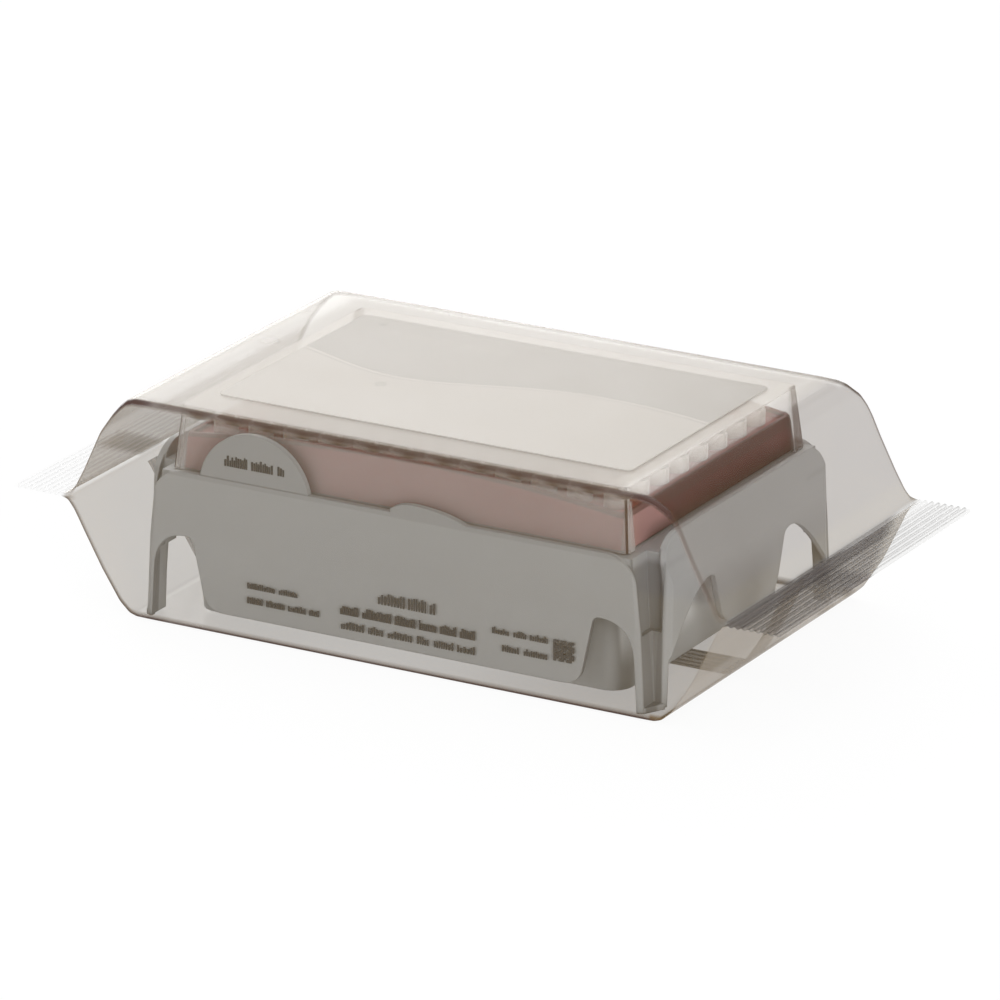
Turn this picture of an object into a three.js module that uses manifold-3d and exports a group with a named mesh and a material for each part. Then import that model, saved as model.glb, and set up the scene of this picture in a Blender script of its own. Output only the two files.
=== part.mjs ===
// Box of pipette tips, sealed in a clear flow wrap.
//
// A grey base with a deep tub, four legs and a skirt carries a red-brown tip rack
// with 96 tips, under a clear hinged lid. The closed box lies in a tube of film whose
// two ends are crimped flat into ridged fins.
//
// Frame: millimetres, +Z up, X along the long side, the thumb tab on the -Y side,
// origin on the underside of the wrap, in the middle of its footprint.

import * as THREE from 'three';
import { mergeVertices } from 'three/addons/utils/BufferGeometryUtils.js';
import Module from 'manifold-3d';

const wasm = await Module();
wasm.setup();

// ---------------------------------------------------------------- driving dimensions

const GAP = 0.3;                  // air kept between pieces that touch
const CORNER_STEPS = 4;           // flats along a round upright corner

// Wrap
const FILM = 0.3;                 // film wall, thicker than the real film
const WRAP_HALF_WIDTH = 45.5;
const WRAP_HEIGHT = 51.3;
const WRAP_EDGE_RADIUS = 1.6;
const FIN_ROOT = 84.0;            // where the two plies meet, from the middle
const FIN_END = 97.0;
const FIN_HEIGHT = 25.6;          // middle of the fin above the floor
const FIN_RIDGES = 6;
const FIN_RIDGE_HEIGHT = 0.35;
const SEAL_STRIP = { half: 60, near: -14, far: -2.5, top: 0.6 };

// Base
const FLOOR = FILM + GAP;         // underside of the feet
const WALL = 1.4;                 // skirt walls
const LEG_WALL = 1.0;
const DECK_TOP = 35.2;
const DECK_THICK = 1.3;
const RIM_TOP = 36.0;             // top of the two long skirts
const SIDE_TOP = 38.8;            // top of the two short skirts
const SKIRT = [                   // outer half sizes at each height
  { z: FLOOR, x: 66.0, y: 44.4 },
  { z: 28.0, x: 65.8, y: 44.3 },
  { z: RIM_TOP, x: 64.4, y: 44.2 },
  { z: SIDE_TOP, x: 64.0, y: 44.1 },
];
const LEG_EDGE = [                // where the long and short skirts end at a corner
  { z: FLOOR, x: 63.1, y: 38.9 },
  { z: 10.0, x: 62.7, y: 38.8 },
  { z: 20.0, x: 62.1, y: 38.4 },
  { z: 28.0, x: 61.2, y: 37.8 },
  { z: 41.0, x: 60.2, y: 36.8 },
];
const LONG_END_BEVEL = { x: 0.7, y: 0.5 };    // along the upright ends of the skirts
const SHORT_END_BEVEL = { x: 1.0, y: 2.6 };
const RECESS = 1.2;               // corner face behind the skirt ends, above the shelf
const SHELF = 18.0;
const FOOT_LIP = 1.3;
const SHOULDER_RADIUS = 7.6;      // upper corners of the long skirts
const SIDE_SHOULDER_RADIUS = 7.0; // upper corners of the short skirts
const LONG_ARCH = {               // the openings beside the legs: half widths and heights
  foot: 47.4, head: 50.9, hem: 4.4, top: 21.0,
  crown: 52.4, turn: 60.4, side: { at: 61.0, z: 12.5 },
};
const SHORT_ARCH = {
  foot: 12.2, head: 16.6, hem: 11.5, top: 25.0,
  crown: 19.0, turn: 25.5, side: { at: 37.0, z: 11.0 },
};
const ARCH_FILLET = 1.6;
const HEM_FILLET = 4.2;

// Tub inside the skirt
const TUB_LOW = { z: 1.6, x: 54.4, y: 37.6, r: 5.0 };
const TUB_HIGH = { z: DECK_TOP, x: 57.2, y: 39.4, r: 6.0 };
const TUB_WALL = 1.3;

// Thumb tab and lip on the front skirt
const TAB = { x: -35.0, z: 33.3, radius: 14.2, thick: 1.4, setback: 0.3 };
const LIP = { start: 0.0, end: 19.0, height: 2.5, thick: 1.4 };

// Lid
const LID_LOW = { z: DECK_TOP + GAP, x: 57.8, y: 41.4, r: 1.6 };
const LID_HIGH = { z: 50.0, x: 56.4, y: 39.7, r: 1.6 };
const LID_WALL = 0.8;

// Lid hinge on the back
const HINGE = { x: 30.0, y: 43.0, z: 38.4, radius: 1.2, half: 7.0, pin: 0.6, ear: 1.5 };

// Rack and tips
const RACK_LOW = { z: 30.0, x: 54.8, y: 37.0, r: 4.2 };
const RACK_NECK = { z: 36.5, x: 55.2, y: 37.4, r: 4.5 };
const RACK_SEAT = { z: DECK_TOP + GAP, x: 56.5, y: 40.1, r: 2.4 };
const RACK_RIM = { z: 47.0, x: 55.5, y: 38.85, r: 2.0 };
const RACK_WALL = 1.3;
const RACK_DECK = { top: 42.2, thick: 1.6 };
const RACK_CROWN = { middle: 47.0, end: 44.0, half: 50.0 };   // top of the rim along X
const PITCH = 9.0;
const COLUMNS = 12;
const ROWS = 8;
const LOOSE_ROWS = 4;             // front rows made as pieces of their own
const TIP_SIDES = 6;
const TIP_TOP = 45.9;
const TIP = {                     // heights below the head, and radii
  length: 31.0, head: 3.7, headRadius: 2.85, neckRadius: 2.2,
  bodyRadius: 1.7, endRadius: 0.5, boreRadius: 2.0, boreDepth: 9.0,
};

// Labels
const LABEL = 0.2;
const TOP_LABEL = { x: 52.3, near: -30.5, far: 34.2, r: 1.5 };
const FRONT_LABEL = { left: -37.2, right: 46.9, low: 5.6, high: 19.6 };

// ---------------------------------------------------------------- materials

const grey = new THREE.MeshStandardMaterial({ color: 0x94928c, roughness: 0.5, metalness: 0 });
const brick = new THREE.MeshStandardMaterial({ color: 0x7a3a34, roughness: 0.45, metalness: 0 });
const natural = new THREE.MeshStandardMaterial({ color: 0xe6e2da, roughness: 0.35, metalness: 0 });
const clear = new THREE.MeshStandardMaterial({
  color: 0xeeedea, roughness: 0.12, metalness: 0, transparent: true, opacity: 0.35,
});
const film = new THREE.MeshStandardMaterial({
  color: 0xd6d1c6, roughness: 0.15, metalness: 0, transparent: true, opacity: 0.3,
});
const paper = new THREE.MeshStandardMaterial({ color: 0xdedbd6, roughness: 0.6, metalness: 0 });
const greyPaper = new THREE.MeshStandardMaterial({ color: 0xa3a19b, roughness: 0.6, metalness: 0 });

// ---------------------------------------------------------------- helpers

// A closed geometry as a solid that can be joined and cut.
function solid(geometry) {
  const plain = geometry.index ? geometry.clone() : geometry;
  plain.deleteAttribute('normal');
  plain.deleteAttribute('uv');
  const merged = mergeVertices(plain, 1e-4);
  return new wasm.Manifold(new wasm.Mesh({
    numProp: 3,
    vertProperties: new Float32Array(merged.attributes.position.array),
    triVerts: new Uint32Array(merged.index.array),
  }));
}

// A solid back as a three.js geometry.
function geometryOf(body) {
  const { vertProperties, triVerts, numProp } = body.getMesh();
  const places = [];
  for (let i = 0; i < vertProperties.length; i += numProp) {
    places.push(vertProperties[i], vertProperties[i + 1], vertProperties[i + 2]);
  }
  const geometry = new THREE.BufferGeometry();
  geometry.setAttribute('position', new THREE.Float32BufferAttribute(places, 3));
  geometry.setIndex(Array.from(triVerts));
  geometry.computeVertexNormals();
  return geometry;
}

function piece(name, geometry, material) {
  const mesh = new THREE.Mesh(geometry, material);
  mesh.name = name;
  return mesh;
}

// A closed solid through loops of equal length, the first and last ones convex and capped.
function loft(loops) {
  const count = loops[0].length;
  const places = loops.flat().flatMap((p) => [p.x, p.y, p.z]);
  const index = [];
  for (let k = 0; k < loops.length - 1; k += 1) {
    for (let i = 0; i < count; i += 1) {
      const a = k * count + i;
      const b = k * count + (i + 1) % count;
      index.push(a, b, b + count, a, b + count, a + count);
    }
  }
  const last = (loops.length - 1) * count;
  for (let i = 1; i < count - 1; i += 1) {
    index.push(0, i + 1, i);
    index.push(last, last + i, last + i + 1);
  }
  const geometry = new THREE.BufferGeometry();
  geometry.setAttribute('position', new THREE.Float32BufferAttribute(places, 3));
  geometry.setIndex(index);
  return geometry;
}

// Outline of a rectangle with round corners, anticlockwise, without a repeated end.
function roundedRectangle(x, y, r, steps) {
  const shape = new THREE.Shape();
  shape.moveTo(-x + r, -y);
  shape.lineTo(x - r, -y);
  shape.absarc(x - r, -y + r, r, -Math.PI / 2, 0);
  shape.lineTo(x, y - r);
  shape.absarc(x - r, y - r, r, 0, Math.PI / 2);
  shape.lineTo(-x + r, y);
  shape.absarc(-x + r, y - r, r, Math.PI / 2, Math.PI);
  shape.lineTo(-x, -y + r);
  shape.absarc(-x + r, -y + r, r, Math.PI, 1.5 * Math.PI);
  const points = shape.getPoints(steps);
  const open = points.filter((p, i) => i === 0 || p.distanceTo(points[i - 1]) > 1e-6);
  if (open[0].distanceTo(open[open.length - 1]) < 1e-6) open.pop();
  return open;
}

// A box with round upright edges that tapers from one level to the next.
function taperedBox(levels) {
  return solid(loft(levels.map(({ x, y, r, z }) => (
    roundedRectangle(x, y, r, CORNER_STEPS).map((p) => new THREE.Vector3(p.x, p.y, z))
  ))));
}

// The same box made smaller all round by a wall, between two heights.
function innerBox(low, high, wall, from, to) {
  const at = (z) => {
    const t = (z - low.z) / (high.z - low.z);
    return {
      x: THREE.MathUtils.lerp(low.x, high.x, t) - wall,
      y: THREE.MathUtils.lerp(low.y, high.y, t) - wall,
      r: Math.max(THREE.MathUtils.lerp(low.r, high.r, t) - wall, 1),
      z,
    };
  };
  return taperedBox([at(from), at(to)]);
}

// A plain box between two corners.
function block(x0, y0, z0, x1, y1, z1) {
  const geometry = new THREE.BoxGeometry(x1 - x0, y1 - y0, z1 - z0);
  geometry.translate((x0 + x1) / 2, (y0 + y1) / 2, (z0 + z1) / 2);
  return solid(geometry);
}

// A flat outline in X and Z, made solid between two values of Y.
function plateAcross(shape, y0, y1, steps = 10) {
  const geometry = new THREE.ExtrudeGeometry(shape, {
    depth: y1 - y0, bevelEnabled: false, curveSegments: steps,
  });
  geometry.rotateX(Math.PI / 2);
  geometry.translate(0, y1, 0);
  return solid(geometry);
}

// A rod along X.
function rod(x0, x1, y, z, radius, sides = 10) {
  const geometry = new THREE.CylinderGeometry(radius, radius, x1 - x0, sides);
  geometry.rotateZ(Math.PI / 2);
  geometry.translate((x0 + x1) / 2, y, z);
  return solid(geometry);
}

// A body and its mirror images in the X = 0 and Y = 0 planes, joined.
function inAllCorners(body) {
  const pair = body.add(body.mirror([1, 0, 0]));
  return pair.add(pair.mirror([0, 1, 0]));
}

function bothEnds(body) {
  return body.add(body.mirror([1, 0, 0]));
}

function bothSides(body) {
  return body.add(body.mirror([0, 1, 0]));
}

// Value between the levels of a table at one height.
function levelAt(table, key, z) {
  const above = Math.max(table.findIndex((row) => row.z >= z), 1);
  const [a, b] = [table[above - 1], table[above]];
  return THREE.MathUtils.lerp(a[key], b[key], (z - a.z) / (b.z - a.z));
}

// ---------------------------------------------------------------- base

// Outer shape of the skirt, less a margin all round.
function skirtEnvelope(margin, from, to) {
  const heights = [from, ...SKIRT.map((row) => row.z).filter((z) => z > from && z < to), to];
  return solid(loft(heights.map((z) => {
    const x = levelAt(SKIRT, 'x', z) - margin;
    const y = levelAt(SKIRT, 'y', z) - margin;
    return [[-x, -y], [x, -y], [x, y], [-x, y]].map(([px, py]) => new THREE.Vector3(px, py, z));
  })));
}

// The +X +Y corner outside the ends of the skirts, moved inwards by a margin.
function cornerRegion(margin, from, to) {
  const far = { x: 90, y: 70 };
  const heights = [from, ...LEG_EDGE.map((row) => row.z).filter((z) => z > from && z < to), to];
  return solid(loft(heights.map((z) => {
    const x = levelAt(LEG_EDGE, 'x', z) - margin;
    const y = levelAt(LEG_EDGE, 'y', z) - margin;
    return [[x, y], [far.x, y], [far.x, far.y], [x, far.y]]
      .map(([px, py]) => new THREE.Vector3(px, py, z));
  })));
}

// Opening under a skirt: two arches beside the legs and a raised hem between them.
function archShape({ foot, head, hem, top, crown, turn, side }, legFoot) {
  const below = -5;
  const edge = (z) => foot + ((head - foot) * (z - hem)) / (top - hem);
  const fillet = { at: edge(top - ARCH_FILLET), z: top - ARCH_FILLET };
  const corner = { at: edge(hem + HEM_FILLET), z: hem + HEM_FILLET };
  const shape = new THREE.Shape();
  shape.moveTo(-legFoot, below);
  shape.lineTo(-side.at, side.z);
  shape.quadraticCurveTo(-turn, top, -crown, top);
  shape.quadraticCurveTo(-head, top, -fillet.at, fillet.z);
  shape.lineTo(-corner.at, corner.z);
  shape.quadraticCurveTo(-foot, hem, -foot + HEM_FILLET, hem);
  shape.lineTo(foot - HEM_FILLET, hem);
  shape.quadraticCurveTo(foot, hem, corner.at, corner.z);
  shape.lineTo(fillet.at, fillet.z);
  shape.quadraticCurveTo(head, top, crown, top);
  shape.quadraticCurveTo(turn, top, side.at, side.z);
  shape.lineTo(legFoot, below);
  return shape;
}

function longArches() {
  const inner = levelAt(SKIRT, 'y', RIM_TOP) - WALL - 0.4;
  const shape = archShape(LONG_ARCH, LEG_EDGE[0].x - LEG_WALL);
  return bothSides(plateAcross(shape, inner, inner + 10));
}

function shortArches() {
  const inner = levelAt(SKIRT, 'x', RIM_TOP) - WALL - 0.4;
  const shape = archShape(SHORT_ARCH, LEG_EDGE[0].y - LEG_WALL);
  return bothEnds(plateAcross(shape, -inner - 10, -inner).rotate([0, 0, 90]));
}

// The part of an upright plate outside a quarter circle at one upper corner.
function outsideRound(corner, top, radius, from, to) {
  const shape = new THREE.Shape();
  shape.moveTo(corner - radius, top);
  shape.absarc(corner - radius, top - radius, radius, Math.PI / 2, 0, true);
  shape.lineTo(corner + 9, top - radius);
  shape.lineTo(corner + 9, top + 5);
  shape.lineTo(corner - radius, top + 5);
  return plateAcross(shape, from, to);
}

// Upper corners of the long skirts.
function shoulders() {
  const corner = levelAt(LEG_EDGE, 'x', RIM_TOP - SHOULDER_RADIUS) + 0.05;
  const face = levelAt(SKIRT, 'y', RIM_TOP) - WALL;
  return inAllCorners(outsideRound(corner, RIM_TOP, SHOULDER_RADIUS, face, face + 5));
}

// Upper corners of the short skirts.
function sideShoulders() {
  const corner = levelAt(LEG_EDGE, 'y', SIDE_TOP - SIDE_SHOULDER_RADIUS) + 0.05;
  const face = levelAt(SKIRT, 'x', SIDE_TOP) - WALL;
  const round = outsideRound(corner, SIDE_TOP, SIDE_SHOULDER_RADIUS, -face - 5, -face);
  return inAllCorners(round.rotate([0, 0, 90]));
}

// Slanted strips along the upright ends of the skirts.
function endBevels() {
  const heights = LEG_EDGE.map((row) => row.z);
  heights[0] -= 1;
  const strip = (corners) => solid(loft(heights.map((z) => (
    corners(z).map(([x, y]) => new THREE.Vector3(x, y, z))
  ))));
  const shortEnd = strip((z) => {
    const x = levelAt(SKIRT, 'x', z);
    const y = levelAt(LEG_EDGE, 'y', z);
    return [[x - SHORT_END_BEVEL.x, y + 0.2], [x, y - SHORT_END_BEVEL.y], [x + 1, y + 0.2]];
  });
  const longEnd = strip((z) => {
    const x = levelAt(LEG_EDGE, 'x', z);
    const y = levelAt(SKIRT, 'y', z);
    return [[x + 0.2, y - LONG_END_BEVEL.y], [x + 0.2, y + 1], [x - LONG_END_BEVEL.x, y]];
  });
  return inAllCorners(shortEnd.add(longEnd));
}

// Chamfered plate that closes the bottom of each leg.
function footLips() {
  const edge = LEG_EDGE[0];
  const outer = SKIRT[0];
  const inset = LEG_WALL;
  const shape = new THREE.Shape();
  shape.moveTo(edge.x - inset, edge.y - inset);
  shape.lineTo(outer.x - 0.05, edge.y - inset);
  shape.lineTo(outer.x - 0.05, edge.y);
  shape.lineTo(edge.x, outer.y - 0.05);
  shape.lineTo(edge.x - inset, outer.y - 0.05);
  const geometry = new THREE.ExtrudeGeometry(shape, { depth: FOOT_LIP, bevelEnabled: false });
  geometry.translate(0, 0, FLOOR);
  return inAllCorners(solid(geometry));
}

// Round thumb tab, standing up from the front skirt.
function thumbTab() {
  const front = -levelAt(SKIRT, 'y', RIM_TOP) + TAB.setback;
  const low = RIM_TOP - 4;
  const start = Math.asin((low - TAB.z) / TAB.radius);
  const shape = new THREE.Shape();
  shape.absarc(TAB.x, TAB.z, TAB.radius, start, Math.PI - start);
  shape.closePath();
  return plateAcross(shape, front, front + TAB.thick, 32);
}

// Low hump on the front rim for the other thumb.
function thumbLip() {
  const front = -levelAt(SKIRT, 'y', RIM_TOP);
  const top = RIM_TOP + LIP.height;
  const shape = new THREE.Shape();
  shape.moveTo(LIP.start, RIM_TOP - 1);
  shape.lineTo(LIP.start, RIM_TOP + 0.8);
  shape.quadraticCurveTo(LIP.start + 2, top, LIP.start + 6, top);
  shape.quadraticCurveTo(LIP.end - 5, top - 0.2, LIP.end, RIM_TOP);
  shape.lineTo(LIP.end, RIM_TOP - 1);
  return plateAcross(shape, front, front + LIP.thick, 5);
}

// Ears that hold the lid's hinge pins, with a hole through each.
function hingeEars() {
  const inner = HINGE.x - HINGE.half - GAP;
  const outer = HINGE.x + HINGE.half + GAP;
  const near = LID_LOW.y + GAP;
  const far = levelAt(SKIRT, 'y', RIM_TOP);
  const top = HINGE.z + 1.4;
  const ears = block(inner - HINGE.ear, near, DECK_TOP - 1, inner, far, top)
    .add(block(outer, near, DECK_TOP - 1, outer + HINGE.ear, far, top));
  const hole = rod(inner - 3, outer + 3, HINGE.y, HINGE.z, HINGE.pin + GAP);
  return bothEnds(ears.subtract(hole));
}

// Ribs inside the tub that the rack stands on.
function rackRibs() {
  const top = RACK_LOW.z - GAP;
  const depth = 2.6;
  const half = 1.0;
  const side = levelAt([TUB_LOW, TUB_HIGH], 'x', top) - TUB_WALL;
  const front = levelAt([TUB_LOW, TUB_HIGH], 'y', top) - TUB_WALL;
  const floor = TUB_LOW.z + TUB_WALL / 2;
  const short = block(side - depth, 24 - half, floor, side + 0.6, 24 + half, top);
  const long = block(38 - half, front - depth, floor, 38 + half, front + 0.6, top);
  const tub = taperedBox([TUB_LOW, TUB_HIGH]);
  return inAllCorners(short.add(long)).intersect(tub);
}

function baseGeometry() {
  const above = SIDE_TOP + 1;
  let body = skirtEnvelope(0, FLOOR, SIDE_TOP)
    .subtract(skirtEnvelope(WALL, FLOOR, DECK_TOP - DECK_THICK));

  // L-shaped legs at the corners
  const legs = inAllCorners(cornerRegion(LEG_WALL, FLOOR, SHELF)
    .add(cornerRegion(LEG_WALL + RECESS, SHELF - 1.2, DECK_TOP)));
  body = body.add(legs.intersect(skirtEnvelope(0, FLOOR, DECK_TOP)));
  const notches = inAllCorners(cornerRegion(0, FLOOR, above));
  const recesses = inAllCorners(cornerRegion(RECESS, SHELF, above))
    .intersect(skirtEnvelope(WALL, FLOOR, SIDE_TOP).add(notches));
  body = body.subtract(notches).subtract(recesses).add(footLips()).subtract(endBevels());

  // Openings beside the legs, round shoulders, and the sunk deck between the skirts
  body = body.subtract(longArches()).subtract(shortArches())
    .subtract(shoulders()).subtract(sideShoulders());
  const ledge = levelAt(SKIRT, 'x', SIDE_TOP) - WALL;
  const front = levelAt(SKIRT, 'y', RIM_TOP) - WALL;
  body = body.subtract(block(-ledge, -front, DECK_TOP, ledge, front, above))
    .subtract(block(-ledge, -60, RIM_TOP, ledge, 60, above));

  // Tub, open at the top
  body = body.add(taperedBox([TUB_LOW, TUB_HIGH])).add(thumbTab()).add(thumbLip())
    .add(hingeEars());
  body = body.subtract(innerBox(TUB_LOW, TUB_HIGH, TUB_WALL, TUB_LOW.z + TUB_WALL, above));
  return geometryOf(body.add(rackRibs()));
}

// ---------------------------------------------------------------- lid

function lidGeometry() {
  const shell = taperedBox([LID_LOW, LID_HIGH])
    .subtract(innerBox(LID_LOW, LID_HIGH, LID_WALL, LID_LOW.z - 1, LID_HIGH.z - LID_WALL));
  const { x, y, z, radius, half, pin, ear } = HINGE;
  const wall = levelAt([LID_LOW, LID_HIGH], 'y', z) - LID_WALL / 2;
  const knuckle = rod(x - half, x + half, y, z, radius)
    .add(rod(x - half - ear, x + half + ear, y, z, pin))
    .add(block(x - half, wall, z - 0.6, x + half, y, z + 0.6));
  return geometryOf(shell.add(bothEnds(knuckle)));
}

// ---------------------------------------------------------------- rack and tips

// A body of revolution about Z from pairs of radius and height.
function turned(pairs) {
  const geometry = new THREE.LatheGeometry(
    pairs.map(([radius, z]) => new THREE.Vector2(radius, z)), TIP_SIDES,
  );
  geometry.rotateX(Math.PI / 2);
  return solid(geometry);
}

// One tip without the socket in its head.
function blankTip() {
  const underHead = TIP_TOP - TIP.head;
  return turned([
    [0, TIP_TOP - TIP.length],
    [TIP.endRadius, TIP_TOP - TIP.length],
    [TIP.bodyRadius, underHead - 3.2],
    [TIP.neckRadius, underHead],
    [TIP.headRadius, underHead],
    [TIP.headRadius, TIP_TOP],
    [0, TIP_TOP],
  ]);
}

// The open socket in a tip's head.
function socket() {
  return turned([
    [0, TIP_TOP - TIP.boreDepth],
    [TIP.boreRadius, TIP_TOP],
    [TIP.boreRadius, TIP_TOP + 1],
    [0, TIP_TOP + 1],
  ]);
}

function tipPlace(column, row) {
  return new THREE.Vector3(
    (column - (COLUMNS - 1) / 2) * PITCH, (row - (ROWS - 1) / 2) * PITCH, 0,
  );
}

function tipPlaces(fromRow, toRow) {
  const places = [];
  for (let row = fromRow; row < toRow; row += 1) {
    for (let column = 0; column < COLUMNS; column += 1) places.push(tipPlace(column, row));
  }
  return places;
}

// The space above the rack's bowed rim, which is highest in the middle.
function aboveCrown() {
  const { middle, end, half } = RACK_CROWN;
  const reach = 60;
  const outer = middle - ((middle - end) * reach * reach) / (half * half);
  const shape = new THREE.Shape();
  shape.moveTo(-reach, outer);
  shape.quadraticCurveTo(0, 2 * middle - outer, reach, outer);
  shape.lineTo(reach, middle + 5);
  shape.lineTo(-reach, middle + 5);
  return plateAcross(shape, -60, 60, 24);
}

function rackGeometry() {
  const { top, thick } = RACK_DECK;
  let body = taperedBox([RACK_LOW, RACK_NECK]).add(taperedBox([RACK_SEAT, RACK_RIM]))
    .subtract(innerBox(RACK_LOW, RACK_NECK, RACK_WALL, RACK_LOW.z - 1, top - thick))
    .subtract(innerBox(RACK_SEAT, RACK_RIM, RACK_WALL, top, RACK_RIM.z + 1))
    .subtract(aboveCrown());
  const hole = new THREE.CylinderGeometry(
    TIP.neckRadius + GAP, TIP.neckRadius + GAP, 6, TIP_SIDES,
  );
  hole.rotateX(Math.PI / 2);
  hole.translate(0, 0, top);
  const cutter = solid(hole);
  const holes = tipPlaces(0, LOOSE_ROWS).map((p) => cutter.translate([p.x, p.y, 0]));
  body = body.subtract(wasm.Manifold.union(holes));
  const tip = blankTip();
  const bore = socket();
  const places = tipPlaces(LOOSE_ROWS, ROWS);
  const held = places.map((p) => tip.translate([p.x, p.y, 0]));
  const bores = places.map((p) => bore.translate([p.x, p.y, 0]));
  return geometryOf(
    body.add(wasm.Manifold.union(held)).subtract(wasm.Manifold.union(bores)),
  );
}

// ---------------------------------------------------------------- labels

function topLabelGeometry() {
  const { x, near, far, r } = TOP_LABEL;
  const outline = roundedRectangle(x, (far - near) / 2, r, 2)
    .map((p) => new THREE.Vector2(p.x, p.y + (far + near) / 2));
  const geometry = new THREE.ExtrudeGeometry(new THREE.Shape(outline), {
    depth: LABEL, bevelEnabled: false,
  });
  geometry.translate(0, 0, LID_HIGH.z + GAP);
  return geometryOf(solid(geometry));
}

function frontLabelGeometry() {
  const { left, right, low, high } = FRONT_LABEL;
  const back = -levelAt(SKIRT, 'y', FLOOR) - GAP;
  return geometryOf(block(left, back - LABEL, low, right, back, high));
}

// ---------------------------------------------------------------- flow wrap

// Height of the upper and lower ply at a distance from the middle, outside face.
const UPPER_PLY = [
  [58, WRAP_HEIGHT], [62, WRAP_HEIGHT - 0.15], [65.2, WRAP_HEIGHT - 0.9],
  [67, WRAP_HEIGHT - 2.2], [69.5, WRAP_HEIGHT - 4.8], [74, 41.2], [78.5, 32.6],
  [81, 28.3], [FIN_ROOT - 1.2, 26.4],
];
const LOWER_PLY = [
  [58, 0], [62, 0], [65.2, 0.05], [67, 0.6], [69.5, 2.9],
  [74, 9.8], [78.5, 17.8], [81, 22.4], [FIN_ROOT - 1.2, 24.8],
];

// One section of the tube at distance x: a rectangle with round corners in Y and Z.
function wrapSection(x, low, high, halfWidth, radius) {
  const half = Math.max((high - low) / 2, 0.05);
  const r = Math.min(radius, half * 0.98);
  const middle = (high + low) / 2;
  return roundedRectangle(halfWidth, half, r, 1)
    .map((p) => new THREE.Vector3(x, p.x, p.y + middle));
}

// Stations from one end of the wrap to the other, with the crimped ridges on the fins.
function wrapStations() {
  const ends = UPPER_PLY.map(([x, high], i) => ({ x, high, low: LOWER_PLY[i][1] }));
  const thick = (2 * FILM + GAP) / 2;
  const steps = FIN_RIDGES * 2;
  for (let i = 0; i <= steps; i += 1) {
    const wave = i === 0 || i === steps ? 0 : FIN_RIDGE_HEIGHT * (i % 2 ? 1 : -1);
    ends.push({
      x: THREE.MathUtils.lerp(FIN_ROOT, FIN_END, i / steps),
      high: FIN_HEIGHT + wave + thick,
      low: FIN_HEIGHT + wave - thick,
    });
  }
  return [...ends.map((end) => ({ ...end, x: -end.x })).reverse(), ...ends];
}

function wrapGeometry() {
  const stations = wrapStations();
  const outer = solid(loft(stations.map((s) => (
    wrapSection(s.x, s.low, s.high, WRAP_HALF_WIDTH, WRAP_EDGE_RADIUS)
  ))));
  const first = stations[0];
  const last = stations[stations.length - 1];
  const open = [{ ...first, x: first.x - 2 }, ...stations, { ...last, x: last.x + 2 }];
  const inner = solid(loft(open.map((s) => (
    wrapSection(s.x, s.low + FILM, s.high - FILM, WRAP_HALF_WIDTH - FILM,
      WRAP_EDGE_RADIUS - FILM)
  ))));
  const strip = block(-SEAL_STRIP.half, SEAL_STRIP.near, FILM / 2,
    SEAL_STRIP.half, SEAL_STRIP.far, SEAL_STRIP.top);
  return geometryOf(outer.subtract(inner).add(strip));
}

// ---------------------------------------------------------------- assembly

const box = new THREE.Group();
box.add(piece('base', baseGeometry(), grey));
box.add(piece('lid', lidGeometry(), clear));
box.add(piece('tip_rack', rackGeometry(), brick));
const oneTip = geometryOf(blankTip().subtract(socket()));
for (let row = 0; row < LOOSE_ROWS; row += 1) {
  for (let column = 0; column < COLUMNS; column += 1) {
    const tip = piece(`tip_${'ABCDEFGH'[row]}${column + 1}`, oneTip, natural);
    tip.position.copy(tipPlace(column, row));
    box.add(tip);
  }
}
box.add(piece('lid_label', topLabelGeometry(), paper));
box.add(piece('front_label', frontLabelGeometry(), greyPaper));
box.add(piece('film_wrap', wrapGeometry(), film));

export default box;
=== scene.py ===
"""Box of pipette tips sealed in a clear flow wrap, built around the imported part.

A grey base with four legs carries a red-brown rack of 96 tips under a clear hinged
lid with a printed label. The closed box lies in a tube of smoky film whose ends are
crimped into ridged fins. Lengths are metres, +Z is up, the thumb tab faces -Y.
"""
import math

import bmesh
import bpy
import numpy as np
from bpy.props import FloatProperty, FloatVectorProperty, IntProperty, PointerProperty
from bpy.types import Operator, Panel, PropertyGroup
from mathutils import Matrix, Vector


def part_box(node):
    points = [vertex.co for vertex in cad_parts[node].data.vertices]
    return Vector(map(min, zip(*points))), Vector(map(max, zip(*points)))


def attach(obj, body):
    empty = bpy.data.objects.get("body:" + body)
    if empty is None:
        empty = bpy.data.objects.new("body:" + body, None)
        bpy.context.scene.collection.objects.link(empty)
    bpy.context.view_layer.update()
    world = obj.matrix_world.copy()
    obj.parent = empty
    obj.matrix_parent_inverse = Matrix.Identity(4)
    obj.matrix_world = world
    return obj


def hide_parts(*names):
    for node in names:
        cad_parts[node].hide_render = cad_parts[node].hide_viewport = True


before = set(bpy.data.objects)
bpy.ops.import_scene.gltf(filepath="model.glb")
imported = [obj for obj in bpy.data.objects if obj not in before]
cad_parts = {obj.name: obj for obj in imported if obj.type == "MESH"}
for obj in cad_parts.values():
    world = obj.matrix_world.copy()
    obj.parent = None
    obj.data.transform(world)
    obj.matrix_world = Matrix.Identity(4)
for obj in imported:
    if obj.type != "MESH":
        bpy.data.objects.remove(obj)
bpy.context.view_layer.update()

bl_info = {
    "name": "Box of pipette tips",
    "version": (1, 0, 0),
    "blender": (4, 5, 0),
    "location": "View3D > Sidebar > Tip box",
    "description": "Builds a wrapped box of pipette tips around its packed frame",
    "category": "Add Mesh",
}

MM = 0.001
LID_LOW, LID_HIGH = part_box("lid")
FRONT_LABEL_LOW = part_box("front_label")[0]
FIN_END, WRAP_SIDE, WRAP_TOP = (round(reach / MM, 3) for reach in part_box("film_wrap")[1])  # mm


# ------------ settings


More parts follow.
